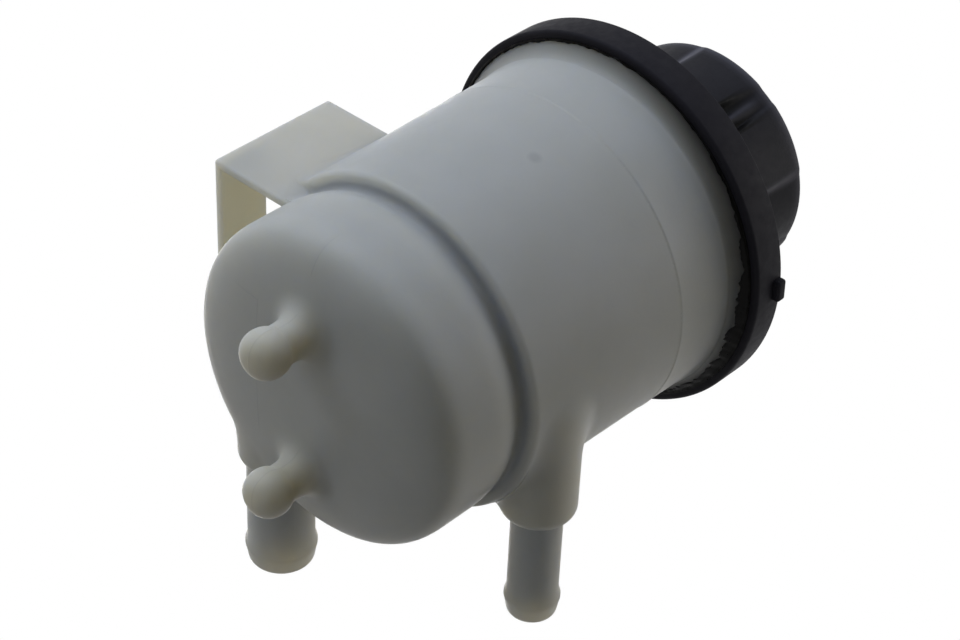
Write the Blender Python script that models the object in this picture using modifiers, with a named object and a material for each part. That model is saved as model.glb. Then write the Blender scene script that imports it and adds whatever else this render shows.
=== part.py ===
"""Power steering reservoir: a moulded bottle with two hose nipples, a slide-on bracket and two
grommet pegs, a welded cover with a threaded neck, a filter inside, and a screw cap.

Metres, +Z up along the bottle's axis. The origin is the middle of the rounded bottom face.
The hose nipples point along +X and the bracket stands out along +Y.
"""
import math

import bmesh
import bpy
from mathutils import Matrix

# Bottle
WALL = 0.0028
BOTTLE_RADIUS_TOP = 0.0439
BOTTLE_RADIUS_LOW = 0.0430
BOTTLE_TOP_Z = 0.1070
COLLAR_Z = 0.0973
COLLAR_STEP = 0.0004
SHOULDER_Z = 0.0306
SHOULDER_ROUND = 0.0012
SHOULDER_LEDGE = 0.0006
GROOVE_DEPTH = 0.0012
GROOVE_Z = 0.0288
GROOVE_FLOOR_DROP = 0.0008
DOME_INSET = 0.0024
DOME_TOP_Z = 0.0272
DOME_SHOULDER_HEIGHT = 0.0025
DOME_CORNER_HEIGHT = 0.0128
DOME_SQUARENESS = 3.1
FLANGE_WIDTH = 0.0030
FLARE_TOP_Z = 0.1012

# Grommet pegs under the bottle
PEG_SPACING = 0.0400
PEG_NECK_RADIUS = 0.0051
PEG_FILLET = 0.0050
PEG_BULB_RADIUS = 0.0060
PEG_BULB_Z = -0.0104
PEG_END_Z = -0.0156
PEG_ROOT_Z = 0.0010
PEG_FULLNESS = 0.7

# Hose nipples: the return enters above the filter, the suction leaves below it
TUBE_LENGTH = 0.0320
RETURN_INSET = 0.0080
RETURN_Z = 0.0430
RETURN_BOSS_RADIUS = 0.0094
RETURN_BOSS_REACH = 0.0114
RETURN_BOSS_LENGTH = 0.0386
RETURN_TUBE_RADIUS = 0.0063
RETURN_BORE_RADIUS = 0.0044
SUCTION_Y = 0.0210
SUCTION_Z = 0.0132
SUCTION_BOSS_RADIUS = 0.0102
SUCTION_BOSS_REACH = 0.0013
SUCTION_BOSS_LENGTH = 0.0160
SUCTION_TUBE_RADIUS = 0.0083
SUCTION_BORE_RADIUS = 0.0064
BORE_START = 0.0040
BARB_HEIGHT = 0.0006
BARB_START_TO_END = 0.0074
BARB_PEAK_TO_END = 0.0048
BARB_FLAT = 0.0008
NOSE_ROUND = 0.0018
BOSS_RIM_ROUND = 0.0030

# Slide-on bracket
BRACKET_HALF_WIDTH = 0.0290
BRACKET_STAND_OUT = 0.0100
BRACKET_PLATE = 0.0023
BRACKET_LOW_Z = 0.0232
BRACKET_HEIGHT = 0.0372
BRACKET_WALL_HEIGHT = 0.0146
BRACKET_ROUND = 0.0006
BRACKET_ROOT_SINK = 0.0022

# Welded cover
SKIRT_PLAY = 0.0007
COVER_SKIRT = 0.0022
COVER_SKIRT_HEIGHT = 0.0092
COVER_DECK = 0.0022
COVER_EDGE_ROUND = 0.0008
COVER_SOFT_EDGE = 0.0003
WELD_RIB_HEIGHT = 0.0010
WELD_RIB_INSET = 0.0010
WELD_RIB_WIDTH = 0.0032
COVER_STEP_MARGIN = 0.0038
COVER_STEP_HEIGHT = 0.0036
COVER_STEP_DRAFT = 0.0004
WELD_BEAD_DROP = 0.0005
WELD_BEAD_THICKNESS = 0.0016
WELD_BEAD_WAVE = 0.0004
LUG_ANGLE = -89.0
LUG_WIDTH = 0.0064
LUG_REACH = 0.0023
LUG_HEIGHT = 0.0030
LUG_DROP = 0.0001

# Neck and thread
NECK_RADIUS = 0.0220
NECK_WALL = 0.0025
NECK_HEIGHT = 0.0232
NECK_SOFT_EDGE = 0.0004
NECK_FOOT_FILLET = 0.0008
THREAD_PITCH = 0.0040
THREAD_HEIGHT = 0.0012
THREAD_PLAY = 0.0003
THREAD_TURNS = 1.5
THREAD_RIM_INSET = 0.0044
THREAD_ROOT_SHARE = 0.24
THREAD_TIP_SHARE = 0.10
THREAD_SINK = 0.0005

# Screw cap: grip shell and threaded insert
CAP_WALL = 0.0047
CAP_ROOF = 0.0024
CAP_FOOT_GAP = 0.0025
CAP_FOOT_CHAMFER = 0.0005
CAP_EDGE_ROUND = 0.0011
CAP_LOBES = 3
CAP_LOBE_ANGLE = 80.0
CAP_LOBE_DIRECTION = -145.0
CAP_SCOOP_DEPTH = 0.0022
GRIP_GROOVE_RADIUS = 0.0016
GRIP_GROOVE_ANGLE = 6.4
GRIP_GROOVE_LEAN = 3.7
GRIP_GROOVE_OUT = 0.0007
INSERT_WALL = 0.0022
INSERT_ROOF = 0.0022
INSERT_RECESS = 0.0024
INSERT_CHAMFER = 0.0006
SEAL_THICKNESS = 0.0018

# Filter on the bottle's inner ledge
FRAME_HEIGHT = 0.0036
FRAME_RING = 0.0052
FRAME_BAR = 0.0024
FRAME_BARS = 3
BAR_SINK = 0.0010
BAR_INSET = 0.0002
SCREEN_THICKNESS = 0.0006
SCREEN_LAP = 0.0020

CLEARANCE = 0.0003
STEPS_LARGE = 56
STEPS_SMALL = 24
STEPS_BORE = 20
STEPS_THREAD = 32
STEPS_CAP = 72
MERGE = 0.00001

# Sizes that follow from those above
DOME_RADIUS = BOTTLE_RADIUS_LOW - DOME_INSET
GROOVE_RADIUS = DOME_RADIUS - GROOVE_DEPTH
COLLAR_RADIUS = BOTTLE_RADIUS_TOP + COLLAR_STEP
FLANGE_RADIUS = BOTTLE_RADIUS_TOP + FLANGE_WIDTH
LEDGE_Z = SHOULDER_Z + SHOULDER_LEDGE
LEDGE_RADIUS = BOTTLE_RADIUS_LOW - WALL
FRAME_RADIUS = LEDGE_RADIUS - CLEARANCE
FRAME_LOW_Z = LEDGE_Z + CLEARANCE
SCREEN_RADIUS = FRAME_RADIUS - FRAME_RING + SCREEN_LAP

RETURN_Y = -(BOTTLE_RADIUS_LOW - RETURN_INSET)
RETURN_STEP_X = math.sqrt(BOTTLE_RADIUS_LOW ** 2 - RETURN_Y ** 2) + RETURN_BOSS_REACH
SUCTION_STEP_X = math.sqrt(DOME_RADIUS ** 2 - SUCTION_Y ** 2) + SUCTION_BOSS_REACH

BRACKET_REACH_Y = BOTTLE_RADIUS_LOW + BRACKET_STAND_OUT
BRACKET_ROOT_Y = math.sqrt(DOME_RADIUS ** 2 - BRACKET_HALF_WIDTH ** 2) - BRACKET_ROOT_SINK

SKIRT_INNER_RADIUS = FLANGE_RADIUS + SKIRT_PLAY
COVER_RADIUS = SKIRT_INNER_RADIUS + COVER_SKIRT
WELD_RIB_Z = BOTTLE_TOP_Z + CLEARANCE
WELD_RIB_RADIUS = FLANGE_RADIUS - WELD_RIB_INSET
DECK_UNDERSIDE_Z = WELD_RIB_Z + WELD_RIB_HEIGHT
COVER_DECK_Z = DECK_UNDERSIDE_Z + COVER_DECK
COVER_LOW_Z = COVER_DECK_Z - COVER_SKIRT_HEIGHT
COVER_STEP_Z = COVER_DECK_Z + COVER_STEP_HEIGHT
NECK_INNER_RADIUS = NECK_RADIUS - NECK_WALL
NECK_TOP_Z = COVER_STEP_Z + NECK_HEIGHT
THREAD_START_Z = NECK_TOP_Z - THREAD_RIM_INSET - THREAD_PITCH * THREAD_TURNS

INSERT_INNER_RADIUS = NECK_RADIUS + THREAD_HEIGHT + THREAD_PLAY
INSERT_RADIUS = INSERT_INNER_RADIUS + INSERT_WALL
CAP_INNER_RADIUS = INSERT_RADIUS + CLEARANCE
CAP_RADIUS = CAP_INNER_RADIUS + CAP_WALL
COVER_STEP_RADIUS = CAP_RADIUS + COVER_STEP_MARGIN
SEAL_LOW_Z = NECK_TOP_Z + CLEARANCE
SEAL_TOP_Z = SEAL_LOW_Z + SEAL_THICKNESS
INSERT_TOP_Z = SEAL_TOP_Z + CLEARANCE + INSERT_ROOF
CAP_TOP_Z = INSERT_TOP_Z + CLEARANCE + CAP_ROOF
CAP_LOW_Z = COVER_STEP_Z + CAP_FOOT_GAP
INSERT_LOW_Z = CAP_LOW_Z + INSERT_RECESS


def clear_scene():
    for thing in list(bpy.data.objects):
        bpy.data.objects.remove(thing, do_unlink=True)


def make_collection(name):
    collection = bpy.data.collections.new(name)
    bpy.context.scene.collection.children.link(collection)
    return collection


def make_material(name, color, roughness, metallic=0.0):
    material = bpy.data.materials.new(name)
    material.use_nodes = True
    shader = material.node_tree.nodes["Principled BSDF"]
    shader.inputs["Base Color"].default_value = (*color, 1.0)
    shader.inputs["Roughness"].default_value = roughness
    shader.inputs["Metallic"].default_value = metallic
    material.diffuse_color = (*color, 1.0)
    return material


def link_object(name, mesh, collection, material=None):
    piece = bpy.data.objects.new(name, mesh)
    collection.objects.link(piece)
    if material is not None:
        mesh.materials.append(material)
    return piece


def bmesh_object(name, bm, collection, material=None):
    mesh = bpy.data.meshes.new(name)
    bm.to_mesh(mesh)
    bm.free()
    return link_object(name, mesh, collection, material)


def as_tool(piece):
    piece.hide_render = True
    piece.display_type = "WIRE"
    return piece


def turned(name, profile, steps, collection, material=None, closed=False):
    """A profile of (radius, height) points turned about the object's own Z axis."""
    mesh = bpy.data.meshes.new(name)
    edges = [(i, i + 1) for i in range(len(profile) - 1)]
    if closed:
        edges.append((len(profile) - 1, 0))
    mesh.from_pydata([(r, 0.0, z) for r, z in profile], edges, [])
    piece = link_object(name, mesh, collection, material)
    screw = piece.modifiers.new("turn", "SCREW")
    screw.axis = "Z"
    screw.steps = steps
    screw.render_steps = steps
    screw.use_merge_vertices = True
    screw.merge_threshold = MERGE
    screw.use_smooth_shade = True
    return piece


def along_x(piece, y, z):
    """Turn an object's own Z axis to +X and put it at a height and side."""
    piece.matrix_world = Matrix.Translation((0.0, y, z)) @ Matrix.Rotation(math.pi / 2, 4, "Y")
    return piece


def block(name, low, high, collection, rounding=0.0):
    bm = bmesh.new()
    bmesh.ops.create_cube(bm, size=1.0)
    size = [b - a for a, b in zip(low, high)]
    middle = [(a + b) / 2 for a, b in zip(low, high)]
    bmesh.ops.scale(bm, vec=size, verts=bm.verts)
    bmesh.ops.translate(bm, vec=middle, verts=bm.verts)
    if rounding:
        bmesh.ops.bevel(bm, geom=bm.edges[:], offset=rounding, segments=1, profile=0.5,
                        affect="EDGES", material=-1)
    return bmesh_object(name, bm, collection)


def rod(name, radius, z_low, z_high, steps, collection, radius_top=None):
    bm = bmesh.new()
    bmesh.ops.create_cone(bm, cap_ends=True, segments=steps, radius1=radius,
                          radius2=radius if radius_top is None else radius_top,
                          depth=z_high - z_low,
                          matrix=Matrix.Translation((0.0, 0.0, (z_low + z_high) / 2)))
    return bmesh_object(name, bm, collection)


def combine(piece, tool, operation):
    step = piece.modifiers.new(tool.name, "BOOLEAN")
    step.operation = operation
    step.solver = "EXACT"
    step.object = tool


def arc(center_r, center_z, radius, start, end, count):
    """Points of an arc in the (radius, height) plane, angles in degrees from outwards."""
    points = []
    for i in range(count + 1):
        angle = math.radians(start + (end - start) * i / count)
        points.append((center_r + radius * math.cos(angle), center_z + radius * math.sin(angle)))
    return points


def dome_corner(radius, low_z, height, count):
    """The squarish rounded corner of the bottom, from the side wall to the axis."""
    power = 2.0 / DOME_SQUARENESS
    points = []
    for i in range(count + 1):
        angle = math.pi / 2 * i / count
        across = radius * abs(math.cos(angle)) ** power if i < count else 0.0
        points.append((across, low_z + height * (1.0 - math.sin(angle) ** power)))
    return points


def bottle_outside(tools):
    profile = [(0.0, BOTTLE_TOP_Z), (FLANGE_RADIUS, BOTTLE_TOP_Z), (FLANGE_RADIUS, FLARE_TOP_Z)]
    for share in (0.75, 0.5, 0.25):
        height = COLLAR_Z + (FLARE_TOP_Z - COLLAR_Z) * share
        profile.append((COLLAR_RADIUS + (FLANGE_RADIUS - COLLAR_RADIUS) * share ** 2, height))
    profile += [(COLLAR_RADIUS, COLLAR_Z), (BOTTLE_RADIUS_TOP, COLLAR_Z - COLLAR_STEP),
               (BOTTLE_RADIUS_LOW, SHOULDER_Z + SHOULDER_ROUND)]
    profile += arc(BOTTLE_RADIUS_LOW - SHOULDER_ROUND, SHOULDER_Z + SHOULDER_ROUND,
                   SHOULDER_ROUND, -30.0, -90.0, 2)
    profile += [(GROOVE_RADIUS, GROOVE_Z), (DOME_RADIUS - GROOVE_DEPTH / 3, DOME_TOP_Z),
                (DOME_RADIUS, DOME_TOP_Z - DOME_SHOULDER_HEIGHT)]
    profile += dome_corner(DOME_RADIUS, 0.0, DOME_CORNER_HEIGHT, 9)
    return turned("bottle_outside", profile, STEPS_LARGE, tools)


def bottle_cavity(tools):
    inner_top = BOTTLE_RADIUS_TOP - WALL
    above = BOTTLE_TOP_Z + WALL
    profile = [(0.0, above), (inner_top, above), (inner_top, COLLAR_Z), (LEDGE_RADIUS, LEDGE_Z),
               (GROOVE_RADIUS - WALL, LEDGE_Z), (GROOVE_RADIUS - WALL, GROOVE_Z - GROOVE_FLOOR_DROP),
               (DOME_RADIUS - WALL, DOME_TOP_Z - DOME_SHOULDER_HEIGHT - GROOVE_FLOOR_DROP)]
    profile += dome_corner(DOME_RADIUS - WALL, WALL, DOME_CORNER_HEIGHT - WALL, 8)
    return as_tool(turned("bottle_cavity", profile, STEPS_LARGE, tools))


def grommet_peg(name, x, tools):
    """A solid peg: fillet at the root, slim neck, bulb that snaps through a grommet."""
    root = PEG_NECK_RADIUS + PEG_FILLET
    profile = [(0.0, PEG_ROOT_Z + WALL / 2), (root, PEG_ROOT_Z + WALL / 2)]
    profile += arc(root, PEG_ROOT_Z - PEG_FILLET, PEG_FILLET, 90.0, 180.0, 4)
    bulb_half = PEG_BULB_Z - PEG_END_Z
    for angle in (42.0, 20.0, 0.0, -25.0, -48.0, -70.0):
        radians = math.radians(angle)
        profile.append((PEG_BULB_RADIUS * math.cos(radians) ** PEG_FULLNESS,
                        PEG_BULB_Z + bulb_half * math.sin(radians)))
    profile.append((0.0, PEG_END_Z))
    peg = as_tool(turned(name, profile, STEPS_BORE, tools))
    peg.location.x = x
    return peg


def nipple(name, y, z, step_x, boss_length, boss_radius, tube_radius, tools):
    """A stepped boss and a barbed tube; the profile's heights run along +X."""
    end = step_x + TUBE_LENGTH
    root = step_x - boss_length
    barb = tube_radius + BARB_HEIGHT
    nose = tube_radius - NOSE_ROUND
    profile = [(0.0, end)] + arc(nose, end - NOSE_ROUND, NOSE_ROUND, 90.0, 15.0, 3)
    profile += [(barb, end - BARB_PEAK_TO_END), (barb, end - BARB_PEAK_TO_END - BARB_FLAT),
                (tube_radius, end - BARB_START_TO_END), (tube_radius, step_x)]
    profile += arc(boss_radius - BOSS_RIM_ROUND, step_x - BOSS_RIM_ROUND * 0.8, BOSS_RIM_ROUND,
                   50.0, 0.0, 2)
    for angle in (0.0, 30.0, 60.0):
        radians = math.radians(angle)
        profile.append((boss_radius * math.cos(radians), root + boss_radius * (1 - math.sin(radians))))
    profile.append((0.0, root))
    return as_tool(along_x(turned(name, profile, STEPS_SMALL, tools), y, z))


def bore(name, y, z, step_x, boss_length, radius, tools):
    start = step_x - boss_length + BORE_START
    hole = rod(name, radius, start, step_x + TUBE_LENGTH + WALL, STEPS_BORE, tools)
    return as_tool(along_x(hole, y, z))


def bracket(tools):
    """Two side plates and a shorter outer wall, which together slide over a tongue."""
    outer = BRACKET_HALF_WIDTH
    high_z = BRACKET_LOW_Z + BRACKET_HEIGHT
    wall_high_z = BRACKET_LOW_Z + BRACKET_WALL_HEIGHT
    pieces = []
    for side, name in ((-1, "bracket_plate_a"), (1, "bracket_plate_b")):
        low_x, high_x = sorted((side * outer, side * (outer - BRACKET_PLATE)))
        pieces.append(block(name, (low_x, BRACKET_ROOT_Y, BRACKET_LOW_Z),
                            (high_x, BRACKET_REACH_Y, high_z), tools, BRACKET_ROUND))
    pieces.append(block("bracket_wall", (-outer, BRACKET_REACH_Y - BRACKET_PLATE, BRACKET_LOW_Z),
                        (outer, BRACKET_REACH_Y, wall_high_z), tools, BRACKET_ROUND))
    return [as_tool(piece) for piece in pieces]


def make_bottle(parts, tools, material):
    bottle = bottle_outside(tools)
    for collection in list(bottle.users_collection):
        collection.objects.unlink(bottle)
    parts.objects.link(bottle)
    bottle.name = "reservoir_bottle"
    bottle.data.materials.append(material)
    additions = [grommet_peg("peg_a", -PEG_SPACING / 2, tools),
                 grommet_peg("peg_b", PEG_SPACING / 2, tools),
                 nipple("return_nipple", RETURN_Y, RETURN_Z, RETURN_STEP_X, RETURN_BOSS_LENGTH,
                        RETURN_BOSS_RADIUS, RETURN_TUBE_RADIUS, tools),
                 nipple("suction_nipple", SUCTION_Y, SUCTION_Z, SUCTION_STEP_X,
                        SUCTION_BOSS_LENGTH, SUCTION_BOSS_RADIUS, SUCTION_TUBE_RADIUS, tools)]
    additions += bracket(tools)
    for tool in additions:
        combine(bottle, tool, "UNION")
    cuts = [bottle_cavity(tools),
            bore("return_bore", RETURN_Y, RETURN_Z, RETURN_STEP_X, RETURN_BOSS_LENGTH,
                 RETURN_BORE_RADIUS, tools),
            bore("suction_bore", SUCTION_Y, SUCTION_Z, SUCTION_STEP_X, SUCTION_BOSS_LENGTH,
                 SUCTION_BORE_RADIUS, tools)]
    for tool in cuts:
        combine(bottle, tool, "DIFFERENCE")
    return bottle


def thread_rib(name, root_radius, tip_radius, start_z, tools):
    """One helical rib of trapezoid section, its root sunk into the wall that carries it."""
    outward = 1.0 if tip_radius > root_radius else -1.0
    sunk = root_radius - outward * THREAD_SINK
    half_root = THREAD_PITCH * THREAD_ROOT_SHARE
    half_tip = THREAD_PITCH * THREAD_TIP_SHARE
    bm = bmesh.new()
    corners = [bm.verts.new(point) for point in ((sunk, 0.0, start_z - half_root),
                                                 (tip_radius, 0.0, start_z - half_tip),
                                                 (tip_radius, 0.0, start_z + half_tip),
                                                 (sunk, 0.0, start_z + half_root))]
    loop = [bm.edges.new((corners[i], corners[(i + 1) % 4])) for i in range(4)]
    steps = int(STEPS_THREAD * THREAD_TURNS)
    rise = THREAD_PITCH * THREAD_TURNS / steps
    bmesh.ops.spin(bm, geom=corners + loop, cent=(0.0, 0.0, 0.0), axis=(0.0, 0.0, 1.0),
                   dvec=(0.0, 0.0, rise), angle=math.tau * THREAD_TURNS, steps=steps,
                   use_duplicate=False)
    open_edges = [edge for edge in bm.edges if len(edge.link_faces) == 1]
    bmesh.ops.holes_fill(bm, edges=open_edges, sides=4)
    bmesh.ops.recalc_face_normals(bm, faces=bm.faces[:])
    return as_tool(bmesh_object(name, bm, tools))


def weld_bead(tools):
    """The squeezed-out weld, a wavy ring that hangs from the skirt's inner edge."""
    inner = FLANGE_RADIUS + CLEARANCE
    outer = SKIRT_INNER_RADIUS + COVER_SKIRT / 2
    low_z = COVER_LOW_Z - WELD_BEAD_DROP
    high_z = low_z + WELD_BEAD_THICKNESS
    section = [(outer, high_z), (outer, COVER_LOW_Z + WELD_BEAD_DROP), (SKIRT_INNER_RADIUS, low_z),
               (inner + WELD_BEAD_DROP / 2, low_z), (inner, low_z + WELD_BEAD_DROP), (inner, high_z)]
    bm = bmesh.new()
    points = [bm.verts.new((r, 0.0, z)) for r, z in section]
    loop = [bm.edges.new((points[i], points[(i + 1) % len(points)])) for i in range(len(points))]
    bmesh.ops.spin(bm, geom=points + loop, cent=(0.0, 0.0, 0.0), axis=(0.0, 0.0, 1.0),
                   dvec=(0.0, 0.0, 0.0), angle=math.tau, steps=STEPS_LARGE, use_merge=True,
                   use_duplicate=False)
    for vert in bm.verts:
        if vert.co.z < COVER_LOW_Z:
            angle = math.atan2(vert.co.y, vert.co.x)
            vert.co.z -= WELD_BEAD_WAVE * (0.5 + 0.3 * math.sin(7 * angle + 1.0)
                                           + 0.2 * math.sin(17 * angle))
    bmesh.ops.recalc_face_normals(bm, faces=bm.faces[:])
    return as_tool(bmesh_object("weld_bead", bm, tools))


def cover_lug(tools):
    """A small rounded tab on the outside of the skirt."""
    high = COVER_DECK_Z - LUG_DROP
    lug = block("cover_lug", (COVER_RADIUS - COVER_SKIRT, -LUG_WIDTH / 2, high - LUG_HEIGHT),
                (COVER_RADIUS + LUG_REACH, LUG_WIDTH / 2, high), tools, COVER_EDGE_ROUND)
    lug.rotation_euler.z = math.radians(LUG_ANGLE)
    return as_tool(lug)


def make_cover(parts, tools, material):
    soft = COVER_SOFT_EDGE
    profile = [(NECK_RADIUS - NECK_SOFT_EDGE, NECK_TOP_Z), (NECK_RADIUS, NECK_TOP_Z - NECK_SOFT_EDGE),
               (NECK_RADIUS, COVER_STEP_Z + NECK_FOOT_FILLET),
               (NECK_RADIUS + NECK_FOOT_FILLET, COVER_STEP_Z),
               (COVER_STEP_RADIUS - COVER_EDGE_ROUND, COVER_STEP_Z),
               (COVER_STEP_RADIUS, COVER_STEP_Z - COVER_EDGE_ROUND),
               (COVER_STEP_RADIUS + COVER_STEP_DRAFT, COVER_DECK_Z)]
    profile += arc(COVER_RADIUS - COVER_EDGE_ROUND, COVER_DECK_Z - COVER_EDGE_ROUND,
                   COVER_EDGE_ROUND, 90.0, 0.0, 2)
    profile += [(COVER_RADIUS, COVER_LOW_Z + soft), (COVER_RADIUS - soft, COVER_LOW_Z),
                (SKIRT_INNER_RADIUS + soft, COVER_LOW_Z),
                (SKIRT_INNER_RADIUS, COVER_LOW_Z + soft), (SKIRT_INNER_RADIUS, DECK_UNDERSIDE_Z),
                (WELD_RIB_RADIUS, DECK_UNDERSIDE_Z), (WELD_RIB_RADIUS, WELD_RIB_Z),
                (WELD_RIB_RADIUS - WELD_RIB_WIDTH, WELD_RIB_Z),
                (WELD_RIB_RADIUS - WELD_RIB_WIDTH, DECK_UNDERSIDE_Z),
                (COVER_STEP_RADIUS, DECK_UNDERSIDE_Z),
                (COVER_STEP_RADIUS - COVER_DECK, COVER_STEP_Z - COVER_DECK),
                (NECK_INNER_RADIUS, COVER_STEP_Z - COVER_DECK), (NECK_INNER_RADIUS, NECK_TOP_Z)]
    cover = turned("top_cover", profile, STEPS_LARGE, parts, material, closed=True)
    thread = thread_rib("neck_thread", NECK_RADIUS, NECK_RADIUS + THREAD_HEIGHT, THREAD_START_Z, tools)
    for tool in (weld_bead(tools), cover_lug(tools), thread):
        combine(cover, tool, "UNION")
    return cover


def scoop(angle, height):
    """How far the grip wall is hollowed: nothing on a lobe or at the rim, most at the foot."""
    pitch = 360.0 / CAP_LOBES
    from_lobe = (math.degrees(angle) - CAP_LOBE_DIRECTION + pitch / 2) % pitch - pitch / 2
    half_gap = (pitch - CAP_LOBE_ANGLE) / 2
    from_gap = (pitch / 2 - abs(from_lobe)) / half_gap
    rim = CAP_TOP_Z - CAP_EDGE_ROUND
    down = max(0.0, (rim - height) / (rim - CAP_LOW_Z))
    return CAP_SCOOP_DEPTH * down * max(0.0, 1.0 - from_gap ** 2)


def grip_groove(name, direction, tools):
    """A leaning rod: the groove is deepest at the skirt's foot and runs out at the top."""
    height = CAP_TOP_Z - CAP_LOW_Z
    groove = rod(name, GRIP_GROOVE_RADIUS, -height * 0.6, height * 0.7, 12, tools)
    out = Matrix.Translation((CAP_RADIUS + GRIP_GROOVE_OUT, 0.0, CAP_LOW_Z + height / 2))
    lean = Matrix.Rotation(math.radians(GRIP_GROOVE_LEAN), 4, "Y")
    groove.matrix_world = Matrix.Rotation(direction, 4, "Z") @ out @ lean
    return as_tool(groove)


def make_cap_shell(parts, tools, material):
    profile = [(0.0, CAP_TOP_Z)]
    profile += arc(CAP_RADIUS - CAP_EDGE_ROUND, CAP_TOP_Z - CAP_EDGE_ROUND, CAP_EDGE_ROUND,
                   90.0, 0.0, 3)
    profile += [(CAP_RADIUS, CAP_LOW_Z + CAP_FOOT_CHAMFER), (CAP_RADIUS - CAP_FOOT_CHAMFER, CAP_LOW_Z),
                (CAP_INNER_RADIUS, CAP_LOW_Z), (CAP_INNER_RADIUS, CAP_TOP_Z - CAP_ROOF),
                (0.0, CAP_TOP_Z - CAP_ROOF)]
    bm = bmesh.new()
    points = [bm.verts.new((r, 0.0, z)) for r, z in profile]
    line = [bm.edges.new((points[i], points[i + 1])) for i in range(len(points) - 1)]
    bmesh.ops.spin(bm, geom=points + line, cent=(0.0, 0.0, 0.0), axis=(0.0, 0.0, 1.0),
                   dvec=(0.0, 0.0, 0.0), angle=math.tau, steps=STEPS_CAP, use_merge=True,
                   use_duplicate=False)
    bmesh.ops.remove_doubles(bm, verts=bm.verts[:], dist=MERGE)
    bmesh.ops.recalc_face_normals(bm, faces=bm.faces[:])
    for vert in bm.verts:
        radius = math.hypot(vert.co.x, vert.co.y)
        if radius > CAP_RADIUS - CAP_WALL / 2:
            hollow = scoop(math.atan2(vert.co.y, vert.co.x), vert.co.z)
            vert.co.xy *= (radius - hollow) / radius
    shell = bmesh_object("cap_shell", bm, parts, material)
    pitch = math.tau / CAP_LOBES
    for i in range(CAP_LOBES):
        lobe = math.radians(CAP_LOBE_DIRECTION) + i * pitch
        for side, letter in ((-1, "a"), (1, "b")):
            angle = lobe + side * math.radians(GRIP_GROOVE_ANGLE)
            combine(shell, grip_groove(f"groove_{i + 1}{letter}", angle, tools), "DIFFERENCE")
    shell.data.shade_smooth()
    shell.data.set_sharp_from_angle(angle=math.radians(30.0))
    return shell


def make_cap_insert(parts, tools, material):
    profile = [(0.0, INSERT_TOP_Z), (INSERT_RADIUS - INSERT_CHAMFER, INSERT_TOP_Z),
               (INSERT_RADIUS, INSERT_TOP_Z - INSERT_CHAMFER), (INSERT_RADIUS, INSERT_LOW_Z),
               (INSERT_INNER_RADIUS, INSERT_LOW_Z), (INSERT_INNER_RADIUS, INSERT_TOP_Z - INSERT_ROOF),
               (0.0, INSERT_TOP_Z - INSERT_ROOF)]
    insert = turned("cap_insert", profile, STEPS_LARGE, parts, material)
    start_z = THREAD_START_Z - THREAD_PITCH / 2
    combine(insert, thread_rib("cap_thread", INSERT_INNER_RADIUS, INSERT_INNER_RADIUS - THREAD_HEIGHT,
                               start_z, tools), "UNION")
    return insert


def make_ring(name, inner, outer, low_z, high_z, parts, material):
    profile = [(inner, high_z), (outer, high_z), (outer, low_z), (inner, low_z)]
    return turned(name, profile, STEPS_LARGE, parts, material, closed=True)


def make_filter_frame(parts, tools, material):
    """A ring with crossing bars below the screen, resting on the bottle's inner ledge."""
    inner = FRAME_RADIUS - FRAME_RING
    seat_z = FRAME_LOW_Z + FRAME_HEIGHT - SCREEN_THICKNESS - 2 * CLEARANCE
    lap = SCREEN_RADIUS + CLEARANCE
    profile = [(lap, FRAME_LOW_Z + FRAME_HEIGHT), (FRAME_RADIUS, FRAME_LOW_Z + FRAME_HEIGHT),
               (FRAME_RADIUS, FRAME_LOW_Z), (inner, FRAME_LOW_Z), (inner, seat_z), (lap, seat_z)]
    frame = turned("filter_frame", profile, STEPS_LARGE, parts, material, closed=True)
    for i in range(FRAME_BARS):
        bar = block(f"frame_bar_{i + 1}",
                    (-inner - BAR_SINK, -FRAME_BAR / 2, FRAME_LOW_Z + BAR_INSET),
                    (inner + BAR_SINK, FRAME_BAR / 2, seat_z - BAR_INSET), tools)
        bar.rotation_euler.z = math.pi * (i + 0.5) / FRAME_BARS
        combine(frame, as_tool(bar), "UNION")
    return frame


def make_filter_screen(parts, material):
    low_z = FRAME_LOW_Z + FRAME_HEIGHT - SCREEN_THICKNESS - CLEARANCE
    profile = [(0.0, low_z + SCREEN_THICKNESS), (SCREEN_RADIUS, low_z + SCREEN_THICKNESS),
               (SCREEN_RADIUS, low_z), (0.0, low_z)]
    return turned("filter_screen", profile, STEPS_LARGE, parts, material)


def main():
    clear_scene()
    parts = make_collection("power_steering_reservoir")
    tools = make_collection("cutters")
    milky = make_material("milky_plastic", (0.56, 0.57, 0.55), 0.42)
    black = make_material("black_plastic", (0.030, 0.030, 0.034), 0.50)
    cap_black = make_material("cap_plastic", (0.026, 0.026, 0.029), 0.46)
    insert_black = make_material("insert_plastic", (0.022, 0.022, 0.024), 0.55)
    seal_rubber = make_material("seal_rubber", (0.018, 0.018, 0.018), 0.85)
    frame_plastic = make_material("frame_plastic", (0.62, 0.62, 0.58), 0.50)
    screen_weave = make_material("screen_weave", (0.50, 0.50, 0.46), 0.60)
    make_bottle(parts, tools, milky)
    make_cover(parts, tools, black)
    make_cap_shell(parts, tools, cap_black)
    make_cap_insert(parts, tools, insert_black)
    make_ring("cap_seal", NECK_INNER_RADIUS, INSERT_INNER_RADIUS - CLEARANCE, SEAL_LOW_Z,
              SEAL_TOP_Z, parts, seal_rubber)
    make_filter_frame(parts, tools, frame_plastic)
    make_filter_screen(parts, screen_weave)


main()
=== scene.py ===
import math

import bmesh
import bpy
import numpy as np
from mathutils import Matrix, Vector
from mathutils.noise import noise as noise_value


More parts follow.
